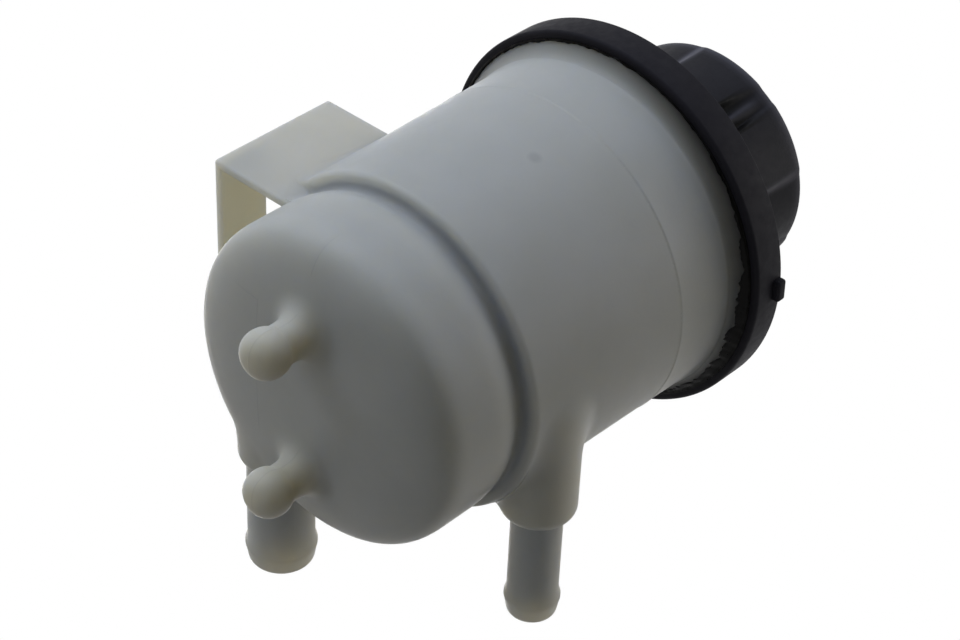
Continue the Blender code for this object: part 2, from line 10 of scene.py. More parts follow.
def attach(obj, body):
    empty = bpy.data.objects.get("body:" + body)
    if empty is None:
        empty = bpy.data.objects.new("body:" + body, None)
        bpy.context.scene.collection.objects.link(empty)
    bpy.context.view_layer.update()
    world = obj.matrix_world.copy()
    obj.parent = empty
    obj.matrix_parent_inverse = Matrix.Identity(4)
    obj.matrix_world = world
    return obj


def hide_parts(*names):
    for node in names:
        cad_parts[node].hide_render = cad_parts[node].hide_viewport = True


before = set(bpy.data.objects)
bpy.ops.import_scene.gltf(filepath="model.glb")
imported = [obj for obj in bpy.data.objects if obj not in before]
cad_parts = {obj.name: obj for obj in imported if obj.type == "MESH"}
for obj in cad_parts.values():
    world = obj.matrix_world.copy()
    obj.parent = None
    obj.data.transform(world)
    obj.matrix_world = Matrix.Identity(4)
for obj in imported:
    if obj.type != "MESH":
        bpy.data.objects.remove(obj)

# Metres and degrees: +Z up the bottle's axis, nipples along +X, bracket out along +Y.

# Bottle body
LOW_RADIUS = 0.0430
TOP_RADIUS = 0.0439
LEDGE_ROUND = 0.0015
LEDGE_ROUND_FROM = -8.0
LEDGE_TOP_Z = 0.0322
LEDGE_LEAN = 70.0
GROOVE_RADIUS = 0.0395
GROOVE_Z = 0.0284
GROOVE_ROUND = 0.0015
GROOVE_LEAN = 16.4
GROOVE_CUT_Z = 0.0255
CUT_LIFT = 0.00002
DOME_RADIUS = 0.0406
DOME_TOP_Z = 0.0210
DOME_HEIGHT = 0.0128
DOME_SQUARENESS = 3.1
MOULD_LINE_Z = 0.0805
MOULD_STEP = 0.00005
MOULD_RIDGE = 0.00014
RIDGE_RISE = 0.0003
COLLAR_Z = 0.0973
COLLAR_STEP = 0.0003
COLLAR_RIDGE = 0.00040
FLARE_TOP_Z = 0.1013
FLANGE_RADIUS = 0.0472
BOTTLE_TOP_Z = 0.1070

# Inside of the bottle
WALL = 0.0028
INNER_LEDGE_Z = 0.0312
INNER_DROP = 0.0008

# Grommet pegs
PEG_X = 0.0200
PEG_NECK = 0.0051
PEG_BULB = 0.0060
PEG_BULB_Z = -0.0104
PEG_BULB_FROM = 42
PEG_END_Z = -0.0156
PEG_FULLNESS = 0.7
PEG_BLEND = 0.0054

# Hose nipples: side, height, face of the boss, its radius and length, radius of the tube and
# of the bore, width of the soft corner round the boss
RETURN = {"y": -0.0350, "z": 0.0430, "face": 0.03638, "boss": 0.0094, "length": 0.0386,
          "tube": 0.0063, "bore": 0.0044, "blend": 0.0034}
SUCTION = {"y": 0.0210, "z": 0.0132, "face": 0.03605, "boss": 0.0102, "length": 0.0160,
           "tube": 0.0083, "bore": 0.0064, "blend": 0.0030}
TUBE_LENGTH = 0.0320
BORE_START = 0.0040
BARB_HEIGHT = 0.0006
BARB_START_TO_END = 0.0074
BARB_PEAK_TO_END = 0.0048
BARB_FLAT = 0.0008
BARB_EASE = 0.0001
BARB_EASE_LENGTH = 0.0003
NOSE_ROUND = 0.0018
BOSS_ROUND = 0.0030

# Slide-on bracket and the soft corners between its plates and the body
BRACKET_HALF = 0.0290
BRACKET_REACH = 0.0530
BRACKET_ROOT = 0.0262
BRACKET_PLATE = 0.0023
BRACKET_LOW_Z = 0.0232
BRACKET_HIGH_Z = 0.0604
BRACKET_WALL_HIGH_Z = 0.0378
BRACKET_ROUND = 0.0007
FILLET_RADIUS = 0.0080
FILLET_END_RADIUS = 0.0012
FILLET_FADE = 0.0200
FILLET_DEPTH = 0.0013
FILLET_FINE_STEP = 0.0003
FILLET_STEP = 0.0020

# Welded cover
COVER_RADIUS = 0.0498
COVER_THICK = 0.0022
SKIRT_INNER = 0.0476
COVER_LOW_Z = 0.1013
COVER_DECK_Z = 0.1105
DECK_UNDERSIDE_Z = 0.1083
COVER_STEP_RADIUS = 0.0345
COVER_STEP_Z = 0.1141
STEP_UNDERSIDE_Z = 0.1119
STEP_FOOT_NEAR = 0.0004
STEP_FOOT_FAR = 0.0007
COVER_ROUND = 0.0008
COVER_SOFT = 0.0003
SKIRT_FOOT_ROUND = 0.0011
SKIRT_TOP_ROUND = 0.0003
RIB_INSET = 0.0010
RIB_WIDTH = 0.0032
NECK_RADIUS = 0.0220
NECK_INNER = 0.0195
NECK_TOP_Z = 0.1373
NECK_FOOT_ROUND = 0.0008
THREAD_PITCH = 0.0040
THREAD_HEIGHT = 0.0012
THREAD_SUNK = 0.0005
THREAD_ROOT_SHARE = 0.24
THREAD_TIP_SHARE = 0.10
THREAD_TURNS = 1.5
THREAD_STEPS = 144
THREAD_START_Z = 0.1269
LUG_ANGLE = -92.0
LUG_WIDTH = 0.0058
LUG_REACH = 0.0018
LUG_HEIGHT = 0.0030
LUG_DROP = 0.0001
LUG_ROUND = 0.0008

# Weld squeezed out under the skirt
WELD_THIN = 0.0005
WELD_THICK = 0.0021
WELD_THICK_AT = -76.0
WELD_THICK_WIDTH = 36.0
WELD_LEAST = 0.0002
WELD_RAGGED = 0.0011
WELD_LUMPS = {"share": 0.6, "size": 0.0030, "seed": 1.7}
WELD_FINE_LUMPS = {"share": 0.4, "size": 0.0012, "seed": 5.1}
WELD_HEIGHT = 0.00032
WELD_SWELL_SIZE = 0.0016
WELD_SWELL_SEED = 9.3
WELD_SWELL_START = 0.18
WELD_SWELL_SPAN = 0.82
WELD_FULLNESS = 0.7
WELD_ROWS = 10
WELD_ROW = 0.0001
WELD_OVERLAP = 0.0003
WELD_BURIED = 0.0009
WELD_TUCK = 0.0004
WELD_EDGE_SUNK = 0.00012

# Screw cap
CAP_RADIUS = 0.0307
CAP_INNER = 0.0260
CAP_LOW_Z = 0.1166
CAP_TOP_Z = 0.1446
CAP_ROOF_Z = 0.1422
CAP_ROUND = 0.0015
CAP_FOOT_ROUND = 0.0005
CAP_INNER_ROUND = 0.0003
CAP_WALL_ROWS = 18
DISH_RADIUS = 0.0215
DISH_DEPTH = 0.0007
CAP_LOBES = 3
CAP_LOBE_HALF = 38.2
CAP_LOBE_DIRECTION = -146.8
SCOOP_DEPTH = 0.0021
SCOOP_RIM_DEPTH = 0.0003
SCOOP_SIDE = 4.2
GRIP_TAKEUP = 1.5
GRIP_HALF_FOOT = 9.35
GRIP_HALF_RIM = 6.75
GRIP_WALL = 1.0
GRIP_WALL_SOFT = 3.0
GRIP_DEPTH = 0.0030
GRIP_RIM_DEPTH = 0.0003
GRIP_LOW_Z = 0.1200
GRIP_HIGH_Z = 0.1420
GRIP_RIDGE_HALF = 4.0
GRIP_RIDGE_OFFSET = 1.0
GRIP_RIDGE_SHARE = 0.22

# Painted highlights on the cap's crests, rim and ridges, and painted shade in its grip channels
PAINT_REACH = 0.0013
HIGHLIGHT_CREST = 2.1
HIGHLIGHT_CREST_AT = 0.55
HIGHLIGHT_CREST_GAIN = 1.7
HIGHLIGHT_RIDGE = 2.0
HIGHLIGHT_RIDGE_SHIFT = 0.8
HIGHLIGHT_RIDGE_FADE = 0.25
HIGHLIGHT_RIDGE_SHARE = 0.3
HIGHLIGHT_RIM = 0.0017
HIGHLIGHT_RIM_AT = 0.6
HIGHLIGHT_RIM_SHARE = 0.8
CHANNEL_EDGE = 0.8
CHANNEL_FROM_RIDGE = 1.8
CHANNEL_SOFT = 1.6
CHANNEL_RISE = 2.0

# The skin's cell, the distance at which points join, the trial step for a slope and the
# least slope that is trusted
VOXEL = 0.00078
MERGE = 0.00001
TRIAL = 0.00002
LEAST_SLOPE = 0.2

# Degrees of turn above which a surface is shaded as an edge
BOTTLE_EDGE = 32.0
COVER_EDGE = 32.0
WELD_EDGE = 50.0
CAP_EDGE = 30.0

# Marks on the bottle's surface, and the stretches over which they fade
LINE_HALF = 0.00028
PARTING_TOP_Z = (0.0100, 0.0130)
PARTING_FAR_X = (-0.0347, -0.0337)
PARTING_LOW_Z = (-0.0012, -0.0002)
PANEL_X = -0.0205
PANEL_Y = 0.0148
PANEL_TOP_Z = (0.0030, 0.0045)
PANEL_START_X = (-0.0213, -0.0207)
PANEL_END_X = (0.0150, 0.0170)
PANEL_START_Y = (0.0146, 0.0150)
PANEL_END_Y = (0.0220, 0.0240)
SPECK = (-0.0420, -0.0109, 0.0629)
SPECK_HALF = 0.0021
SPECK_CORE = 0.4
SPECK_SHARE = 0.26
# Painted shade on the flare under the weld: its start below the collar, its stretch across the
# thick side, its least share
WELD_SHADE_DROP = 0.0005
WELD_SHADE_SIDE = (-0.030, 0.020)
WELD_SHADE_LEAST = 0.30

# Milky plastic
MILK_PLAIN = (0.52, 0.51, 0.47)
MILK_DARK = (0.545, 0.528, 0.440)
MILK_PALE = (0.575, 0.557, 0.470)
MILK_LINE = (0.30, 0.29, 0.25)
MILK_LINE_SHARE = 0.18
MILK_LINE_HEIGHT = 0.00006
MILK_SPECK = (0.22, 0.21, 0.19)
# Painted shade colour on the flare under the skirt and weld
MILK_WELD_SHADE = (0.020, 0.018, 0.013)
MILK_ROUGHNESS = 0.44
MILK_SHEEN = (0.38, 0.48)
MILK_SHINE = 0.12
MILK_SCATTER = (1.0, 0.88, 0.62)
MILK_SCATTER_SCALE = 0.017

# Black plastics: grain is how strongly the fine bumps show, shine how much they mirror
COVER_LOOK = {"color": (0.0090, 0.0085, 0.0110), "roughness": 0.60, "grain": 0.3,
              "shine": 0.07}
WELD_LOOK = {"color": (0.0024, 0.0021, 0.0018), "roughness": 0.30, "grain": 0.6,
             "shine": 0.05}
# The cap's last colour is the painted highlight on its crests, rim and ridges
CAP_LOOK = {"color": (0.0125, 0.0122, 0.0150), "roughness": 0.46, "grain": 0.3,
            "shine": 0.06, "painted_highlight": (0.092, 0.090, 0.103)}
INSERT_LOOK = {"color": (0.020, 0.020, 0.022), "roughness": 0.55, "grain": 0.2,
               "shine": 0.12}
# Painted shade deep in the cap's grip channels
CHANNEL_PAINTED_SHADE = (0.002, 0.002, 0.002)
CLOUD_LIGHTER = 1.25

# Rubber, frame and screen
RUBBER_PLAIN = (0.018, 0.018, 0.018)
RUBBER_DARK = (0.016, 0.016, 0.016)
RUBBER_DUSTY = (0.030, 0.029, 0.028)
FRAME_PLAIN = (0.62, 0.62, 0.58)
FRAME_DARK = (0.60, 0.60, 0.56)
FRAME_PALE = (0.66, 0.66, 0.62)
SCREEN_PLAIN = (0.50, 0.50, 0.46)
SCREEN_HOLE = (0.16, 0.16, 0.14)
SCREEN_THREAD = (0.56, 0.56, 0.52)
SCREEN_THREADS = 320.0
SCREEN_HEIGHT = 0.0002

# Noise: how far patches spread, and the grain of the moulded plastics
PATCH_SPREAD = (0.3, 0.7)
DUST_SPREAD = (0.35, 0.75)
MOULDED = {"detail": 4.0, "roughness": 0.6}
GRAIN_HEIGHT = 0.0001

# Room
WHITE = (1.0, 1.0, 1.0)
FLOOR_Z = -1.0
FLOOR_SIZE = 20.0
FLOOR_LOOK = 0.72
FLOOR_COLOR = (0.82, 0.82, 0.82)
WORLD_COLOR = (0.96, 0.98, 1.0)
WORLD_LEVEL = 0.01

# Lamps, each with its angle round, its angle up, its power and its colour
LAMPS = {"key": (145.0, -5.0, 7.5, (0.78, 0.85, 1.0)),
         "window": (170.0, 25.0, 4.3, (0.68, 0.76, 1.0)),
         "side": (-102.0, 55.0, 4.7, (1.0, 0.98, 0.96)),
         "low": (65.0, -22.0, 0.7, (1.0, 0.92, 0.75)),
         "back": (45.0, 30.0, 4.3, (1.0, 0.97, 0.96))}
LAMP_DISTANCE = 1.2
LAMP_SIZE = 0.9
LAMP_AIM_Z = 0.06

# The photograph's view
VIEW_PLACE = Vector((-0.36747, -0.32153, -0.30769))
VIEW_AHEAD = Vector((0.61031, 0.52207, 0.59579))
VIEW_UP = Vector((-0.79128, 0.43735, 0.42732))
VIEW_LENS = 96.583
VIEW_SENSOR = 36.0
VIEW_NEAR = 0.01


# ---- shaping ----

def eased(value):
    """From 0 to 1 with a soft start and a soft end, and level beyond them."""
    value = min(max(value, 0.0), 1.0)
    return value * value * (3.0 - 2.0 * value)


def arc(center_r, center_z, radius, start, end, count):
    """Points of an arc in the (radius, height) plane, angles in degrees from outwards."""
    angles = [math.radians(start + (end - start) * i / count) for i in range(count + 1)]
    return [(center_r + radius * math.cos(a), center_z + radius * math.sin(a)) for a in angles]


def dome_corner(radius, low_z, height, count):
    """The squarish rounded bottom, from the side wall to the axis."""
    power = 2.0 / DOME_SQUARENESS
    points = []
    for i in range(count + 1):
        angle = math.pi / 2 * i / count
        across = radius * abs(math.cos(angle)) ** power if i < count else 0.0
        points.append((across, low_z + height * (1.0 - math.sin(angle) ** power)))
    return points


def turned(profile, steps, closed=False):
    """A mesh turned about Z from (radius, height) points."""
    bm = bmesh.new()
    points = [bm.verts.new((r, 0.0, z)) for r, z in profile]
    lines = [bm.edges.new(pair) for pair in zip(points, points[1:])]
    if closed:
        lines.append(bm.edges.new((points[-1], points[0])))
    bmesh.ops.spin(bm, geom=points + lines, cent=(0, 0, 0), axis=(0, 0, 1), dvec=(0, 0, 0),
                   angle=math.tau, steps=steps, use_merge=True, use_duplicate=False)
    bmesh.ops.remove_doubles(bm, verts=bm.verts[:], dist=MERGE)
    bmesh.ops.recalc_face_normals(bm, faces=bm.faces[:])
    return bm


def along_x(bm, y, z):
    """Lays a turned mesh down: its own Z axis becomes +X at a side and a height."""
    place = Matrix.Translation((0.0, y, z)) @ Matrix.Rotation(math.pi / 2, 4, "Y")
    bmesh.ops.transform(bm, matrix=place, verts=bm.verts)
    return bm


def block(low, high, rounding, segments=3):
    """A box between two corners with rounded edges."""
    bm = bmesh.new()
    bmesh.ops.create_cube(bm, size=1.0)
    bmesh.ops.scale(bm, vec=[b - a for a, b in zip(low, high)], verts=bm.verts)
    bmesh.ops.translate(bm, vec=[(a + b) / 2 for a, b in zip(low, high)], verts=bm.verts)
    bmesh.ops.bevel(bm, geom=bm.edges[:], offset=rounding, segments=segments, profile=0.5,
                    affect="EDGES", material=-1)
    return bm


def rod(radius, low_z, high_z, steps):
    """A plain round bar about Z."""
    bm = bmesh.new()
    bmesh.ops.create_cone(bm, cap_ends=True, segments=steps, radius1=radius, radius2=radius,
                          depth=high_z - low_z,
                          matrix=Matrix.Translation((0.0, 0.0, (low_z + high_z) / 2)))
    return bm


def make_piece(name, bm):
    """Turns a mesh being shaped into a piece of the scene."""
    mesh = bpy.data.meshes.new(name)
    bm.to_mesh(mesh)
    bm.free()
    piece = bpy.data.objects.new(name, mesh)
    bpy.context.scene.collection.objects.link(piece)
    return piece


def settle(piece):
    """Applies a piece's modifiers to its mesh."""
    bpy.context.view_layer.update()
    graph = bpy.context.evaluated_depsgraph_get()
    mesh = bpy.data.meshes.new_from_object(piece.evaluated_get(graph))
    piece.modifiers.clear()
    piece.data = mesh


def combine(piece, tools, operation, solver="MANIFOLD"):
    """Adds or cuts the tool pieces, then deletes them."""
    for tool in tools:
        step = piece.modifiers.new(tool.name, "BOOLEAN")
        step.operation = operation
        step.solver = solver
        step.object = tool
    settle(piece)
    for tool in tools:
        bpy.data.objects.remove(tool)


def shade(piece, angle):
    """Smooth shading, with edges only where the surface turns by more than an angle."""
    piece.data.shade_smooth()
    piece.data.set_sharp_from_angle(angle=math.radians(angle))


def dress(piece, material, body, slot, *nodes):
    """Gives a piece its material and its body, and hides the CAD nodes it stands for; slot is
    not used.
    """
    piece.data.materials.clear()
    piece.data.materials.append(material)
    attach(piece, body)
    if nodes:
        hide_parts(*nodes)
    return piece


# ---- the bottle's soft-cornered form ----

def body_radius(z):
    """The body's side, a little wider at the top."""
    return LOW_RADIUS + (TOP_RADIUS - LOW_RADIUS) * (z - LEDGE_TOP_Z) / (COLLAR_Z - LEDGE_TOP_Z)


def dome_side(z):
    """The dome's side, easing in towards the groove under the ledge."""
    share = min(max((z - DOME_TOP_Z) / (GROOVE_Z - DOME_TOP_Z), 0.0), 1.0)
    return DOME_RADIUS - (DOME_RADIUS - GROOVE_RADIUS) * share ** 2


def lower_outline():
    """The body below the mould line, plain where the groove is cut later."""
    above = MOULD_LINE_Z + WALL
    outline = [(0.0, above), (body_radius(MOULD_LINE_Z), above),
               (body_radius(MOULD_LINE_Z), MOULD_LINE_Z), (LOW_RADIUS, LEDGE_TOP_Z),
               (LOW_RADIUS, GROOVE_Z)]
    ease_top = (GROOVE_CUT_Z + GROOVE_Z) / 2
    for i in range(9):
        height = ease_top + (DOME_TOP_Z - ease_top) * i / 8
        outline.append((dome_side(height), height))
    return outline + dome_corner(DOME_RADIUS, 0.0, DOME_HEIGHT, 48)


def peg_outline():
    """A peg's neck and its bulb."""
    outline = [(0.0, DOME_HEIGHT / 2), (PEG_NECK, DOME_HEIGHT / 2)]
    bulb_half = PEG_BULB_Z - PEG_END_Z
    for angle in range(PEG_BULB_FROM, -90, -6):
        radians = math.radians(angle)
        outline.append((PEG_BULB * math.cos(radians) ** PEG_FULLNESS,
                        PEG_BULB_Z + bulb_half * math.sin(radians)))
    return outline + [(0.0, PEG_END_Z)]


def boss_outline(nipple):
    """A boss with a rounded rim and a round root, its heights running along +X."""
    radius = nipple["boss"]
    root = nipple["face"] - nipple["length"]
    flat = radius - BOSS_ROUND
    outline = [(0.0, nipple["face"])]
    outline += arc(flat, nipple["face"] - BOSS_ROUND, BOSS_ROUND, 90.0, 0.0, 12)
    outline += arc(0.0, root + radius, radius, 0.0, -90.0, 16)
    return outline


def outline_distance(r, z, outline):
    """Signed distance, less than nothing inside, to a turned solid's outline."""
    nearest = np.full(len(r), np.inf)
    inside = np.zeros(len(r), bool)
    for (ar, az), (br, bz) in zip(outline, outline[1:]):
        er, ez = br - ar, bz - az
        along = np.clip(((r - ar) * er + (z - az) * ez) / (er * er + ez * ez), 0.0, 1.0)
        nearest = np.minimum(nearest, (r - ar - er * along) ** 2 + (z - az - ez * along) ** 2)
        if az != bz:
            beside = ((az > z) != (bz > z)) & (r < ar + (z - az) * er / ez)
            inside ^= beside
    return np.sqrt(nearest) * np.where(inside, -1.0, 1.0)


def blended(a, b, width):
    """The nearer of two distances, with a soft fillet where they meet."""
    share = np.maximum(width - np.abs(a - b), 0.0) / width
    return np.minimum(a, b) - share * share * width / 4


def form_distance(points):
    """Signed distance of points to the body, pegs and bosses blended together."""
    x, y, z = points.T
    distance = outline_distance(np.hypot(x, y), z, lower_outline())
    for side in (-PEG_X, PEG_X):
        peg = outline_distance(np.hypot(x - side, y), z, peg_outline())
        distance = blended(distance, peg, PEG_BLEND)
    for nipple in (RETURN, SUCTION):
        across = np.hypot(y - nipple["y"], z - nipple["z"])
        boss = outline_distance(across, x, boss_outline(nipple))
        distance = blended(distance, boss, nipple["blend"])
    return distance


def pull_to_form(mesh, rounds, reach):
    """Moves every vertex straight on to the blended form."""
    points = np.empty(len(mesh.vertices) * 3)
    mesh.vertices.foreach_get("co", points)
    points = points.reshape(-1, 3)
    for _ in range(rounds):
        distance = form_distance(points)
        slope = np.empty_like(points)
        for axis in range(3):
            shift = np.zeros(3)
            shift[axis] = TRIAL
            slope[:, axis] = (form_distance(points + shift)
                              - form_distance(points - shift)) / (2 * TRIAL)
        steep = np.maximum((slope ** 2).sum(1), LEAST_SLOPE)
        step = np.clip(distance / steep, -reach, reach)
        points -= slope * step[:, None]
    mesh.vertices.foreach_set("co", points.ravel())
    mesh.update()


def even_out(mesh, rounds):
    """Spaces a mesh's vertices more evenly."""
    bm = bmesh.new()
    bm.from_mesh(mesh)
    for _ in range(rounds):
        bmesh.ops.smooth_vert(bm, verts=bm.verts[:], factor=0.5, use_axis_x=True,
                              use_axis_y=True, use_axis_z=True)
    bm.to_mesh(mesh)
    bm.free()


def lower_form():
    """Body, dome, pegs and bosses as one skin with soft fillets between them."""
    bm = turned(lower_outline(), steps=128)
    parts = []
    for side in (-PEG_X, PEG_X):
        peg = turned(peg_outline(), steps=32)
        bmesh.ops.translate(peg, vec=(side, 0.0, 0.0), verts=peg.verts)
        parts.append(peg)
    for nipple in (RETURN, SUCTION):
        boss = turned(boss_outline(nipple), steps=48)
        parts.append(along_x(boss, nipple["y"], nipple["z"]))
    for part in parts:
        held = bpy.data.meshes.new("part")
        part.to_mesh(held)
        part.free()
        bm.from_mesh(held)
        bpy.data.meshes.remove(held)
    form = make_piece("bottle_moulding", bm)
    skin = form.modifiers.new("skin", "REMESH")
    skin.mode = "VOXEL"
    skin.voxel_size = VOXEL
    settle(form)
    pull_to_form(form.data, rounds=6, reach=VOXEL)
    even_out(form.data, rounds=2)
    pull_to_form(form.data, rounds=4, reach=VOXEL)
    return form


def groove_side():
    """The body's side from the ledge's top down to the dome, as (radius, height) points.
    At its foot it stands just outside the dome, and further up it runs just inside."""
    lean = math.radians(GROOVE_LEAN)
    middle = (GROOVE_RADIUS + GROOVE_ROUND * math.cos(lean),
              GROOVE_Z + GROOVE_ROUND * math.sin(lean))
    profile = [(LOW_RADIUS, LEDGE_TOP_Z)]
    profile += arc(LOW_RADIUS - LEDGE_ROUND, LEDGE_TOP_Z, LEDGE_ROUND, LEDGE_ROUND_FROM,
                   -LEDGE_LEAN, 8)
    profile += arc(*middle, GROOVE_ROUND, 180.0 - LEDGE_LEAN, 180.0 + GROOVE_LEAN, 10)
    for i in range(1, 9):
        share = 1.0 - i / 8
        height = GROOVE_CUT_Z + (GROOVE_Z - GROOVE_CUT_Z) * share
        profile.append((dome_side(height) + CUT_LIFT * max(1.0 - 3.0 * share, -1.0), height))
    return profile


def groove_cutter():
    """What is cut from the plain form to leave the ledge and the groove below it."""
    far = LOW_RADIUS + 5 * WALL
    profile = [(far, LEDGE_TOP_Z)] + groove_side() + [(far, GROOVE_CUT_Z)]
    return make_piece("groove_cutter", turned(profile, steps=192, closed=True))


def side_radius(z):
    """The body's outer radius at a height beside the bracket."""
    if z >= LEDGE_TOP_Z:
        return body_radius(z)
    if z <= GROOVE_CUT_Z:
        return dome_side(z)
    radii, heights = zip(*reversed(groove_side()))
    return float(np.interp(z, heights, radii))


def fillet_section(z):
    """The fillet's outline across the corner of a plate and the body at a height."""
    radius = side_radius(z)
    share = eased((BRACKET_HIGH_Z - z) / FILLET_FADE)
    round_by = FILLET_END_RADIUS + (FILLET_RADIUS - FILLET_END_RADIUS) * share
    middle_x = BRACKET_HALF + round_by
    middle_y = math.sqrt((radius + round_by) ** 2 - middle_x ** 2)
    turn = 180.0 + math.degrees(math.atan2(middle_y, middle_x))
    section = arc(middle_x, middle_y, round_by + CUT_LIFT, 180.0, turn, 10)
    inner = (radius - FILLET_DEPTH) / (radius + round_by)
    corner_y = math.sqrt(radius ** 2 - BRACKET_HALF ** 2)
    plate_x = BRACKET_HALF - FILLET_DEPTH
    return section + [(middle_x * inner, middle_y * inner), (plate_x, corner_y),
                      (plate_x, middle_y)]


def fillet_heights():
    """Close together past the groove and the ledge, further apart above them."""
    low, high = BRACKET_LOW_Z + BRACKET_ROUND, BRACKET_HIGH_Z - BRACKET_ROUND
    fine = int((LEDGE_TOP_Z + FILLET_STEP - low) / FILLET_FINE_STEP)
    heights = [low + FILLET_FINE_STEP * i for i in range(fine)]
    start = heights[-1]
    count = int((high - start) / FILLET_STEP)
    return heights + [start + (high - start) * (i + 1) / count for i in range(count)]


def plate_fillet(side):
    """The soft corner between a bracket plate and the body, dying into ledge and groove."""
    bm = bmesh.new()
    rings = [[bm.verts.new((side * x, y, z)) for x, y in fillet_section(z)]
             for z in fillet_heights()]
    for lower, upper in zip(rings, rings[1:]):
        for i, point in enumerate(lower):
            bm.faces.new((lower[i - 1], point, upper[i], upper[i - 1]))
    bm.faces.new(rings[0])
    bm.faces.new(rings[-1])
    bmesh.ops.recalc_face_normals(bm, faces=bm.faces[:])
    return make_piece("plate_fillet", bm)


def flare_radius(share):
    """The flare under the cover, from the collar (0) to its top (1)."""
    start = TOP_RADIUS + COLLAR_STEP
    return start + (FLANGE_RADIUS - start) * share ** 2


def flare_height(radius):
    """The height at which the flare has a radius."""
    start = TOP_RADIUS + COLLAR_STEP
    climb = max((min(radius, FLANGE_RADIUS) - start) / (FLANGE_RADIUS - start), 0.0)
    return COLLAR_Z + (FLARE_TOP_Z - COLLAR_Z) * math.sqrt(climb)


def upper_ring():
    """The top of the body from the mould line, with its collar and flare."""
    inner = TOP_RADIUS - WALL
    low = MOULD_LINE_Z
    outer = body_radius(low)
    step = RIDGE_RISE
    profile = [(inner - WALL, low + WALL), (inner, low), (outer, low),
               (outer + MOULD_RIDGE, low + step), (outer + MOULD_RIDGE, low + 2 * step),
               (outer + MOULD_STEP, low + 4 * step),
               (TOP_RADIUS + MOULD_STEP, COLLAR_Z - 5 * step),
               (TOP_RADIUS + COLLAR_RIDGE, COLLAR_Z - 2 * step),
               (TOP_RADIUS + COLLAR_RIDGE, COLLAR_Z)]
    for i in range(1, 13):
        share = i / 12
        profile.append((flare_radius(share), COLLAR_Z + (FLARE_TOP_Z - COLLAR_Z) * share))
    profile += [(FLANGE_RADIUS, BOTTLE_TOP_Z), (inner - WALL, BOTTLE_TOP_Z)]
    return make_piece("upper_ring", turned(profile, steps=192, closed=True))


def bottle_cavity():
    """The hollow inside, narrower past the groove."""
    inner = TOP_RADIUS - WALL
    above = BOTTLE_TOP_Z + WALL
    ledge = LOW_RADIUS - WALL
    deep = GROOVE_RADIUS - WALL
    profile = [(0.0, above), (inner, above), (inner, COLLAR_Z), (ledge, INNER_LEDGE_Z),
               (deep, INNER_LEDGE_Z), (deep, GROOVE_Z - INNER_DROP),
               (DOME_RADIUS - WALL, DOME_TOP_Z - INNER_DROP)]
    profile += dome_corner(DOME_RADIUS - WALL, WALL, DOME_HEIGHT - WALL, 12)
    return make_piece("bottle_cavity", turned(profile, steps=96))


def barbed_tube(nipple):
    """A nipple's tube with a rounded nose and one barb."""
    end = nipple["face"] + TUBE_LENGTH
    foot = nipple["face"] - 2 * BOSS_ROUND
    tube = nipple["tube"]
    barb = tube + BARB_HEIGHT
    peak = end - BARB_PEAK_TO_END
    profile = [(0.0, end)]
    profile += arc(tube - NOSE_ROUND, end - NOSE_ROUND, NOSE_ROUND, 90.0, 12.0, 6)
    profile += [(barb - BARB_EASE, peak + BARB_EASE_LENGTH), (barb, peak),
                (barb, peak - BARB_FLAT),
                (barb - BARB_EASE, peak - BARB_FLAT - BARB_EASE_LENGTH),
                (tube, end - BARB_START_TO_END), (tube, foot), (0.0, foot)]
    return make_piece("barbed_tube",
                      along_x(turned(profile, steps=64), nipple["y"], nipple["z"]))


def hose_bore(nipple):
    """What is cut out to open a nipple through to the inside."""
    start = nipple["face"] - nipple["length"] + BORE_START
    hole = rod(nipple["bore"], start, nipple["face"] + TUBE_LENGTH + WALL, steps=48)
    return make_piece("hose_bore", along_x(hole, nipple["y"], nipple["z"]))


def bracket_parts():
    """Two side plates and the lower outer wall that joins them."""
    parts = []
    for side in (-1, 1):
        low_x, high_x = sorted((side * BRACKET_HALF, side * (BRACKET_HALF - BRACKET_PLATE)))
        plate = block((low_x, BRACKET_ROOT, BRACKET_LOW_Z),
                      (high_x, BRACKET_REACH, BRACKET_HIGH_Z), BRACKET_ROUND)
        parts.append(make_piece("bracket_plate", plate))
    wall = block((-BRACKET_HALF, BRACKET_REACH - BRACKET_PLATE, BRACKET_LOW_Z),
                 (BRACKET_HALF, BRACKET_REACH, BRACKET_WALL_HIGH_Z), BRACKET_ROUND)
    parts.append(make_piece("bracket_wall", wall))
    return parts


def make_bottle(material):
    """The bottle in one moulding with its nipples, bracket and pegs."""
    bottle = lower_form()
    combine(bottle, [groove_cutter()], "DIFFERENCE")
    additions = [upper_ring()] + [barbed_tube(n) for n in (RETURN, SUCTION)] + bracket_parts()
    additions += [plate_fillet(side) for side in (-1, 1)]
    combine(bottle, additions, "UNION")
    combine(bottle, [bottle_cavity()] + [hose_bore(n) for n in (RETURN, SUCTION)], "DIFFERENCE")
    shade(bottle, BOTTLE_EDGE)
    return dress(bottle, material, "reservoir", "bottle", "reservoir_bottle")


# ---- cover and cap ----

def neck_thread():
    """One helical rib, its root sunk into the neck."""
    sunk = NECK_RADIUS - THREAD_SUNK
    tip = NECK_RADIUS + THREAD_HEIGHT
    half_root = THREAD_PITCH * THREAD_ROOT_SHARE
    half_tip = THREAD_PITCH * THREAD_TIP_SHARE
    bm = bmesh.new()
    corners = [bm.verts.new((r, 0.0, THREAD_START_Z + dz)) for r, dz in
               ((sunk, -half_root), (tip, -half_tip), (tip, half_tip), (sunk, half_root))]
    loop = [bm.edges.new((corners[i], corners[(i + 1) % 4])) for i in range(4)]
    bmesh.ops.spin(bm, geom=corners + loop, cent=(0, 0, 0), axis=(0, 0, 1),
                   dvec=(0, 0, THREAD_PITCH * THREAD_TURNS / THREAD_STEPS),
                   angle=math.tau * THREAD_TURNS, steps=THREAD_STEPS, use_duplicate=False)
    ends = [edge for edge in bm.edges if len(edge.link_faces) == 1]
    bmesh.ops.holes_fill(bm, edges=ends, sides=4)
    bmesh.ops.recalc_face_normals(bm, faces=bm.faces[:])
    return make_piece("neck_thread", bm)


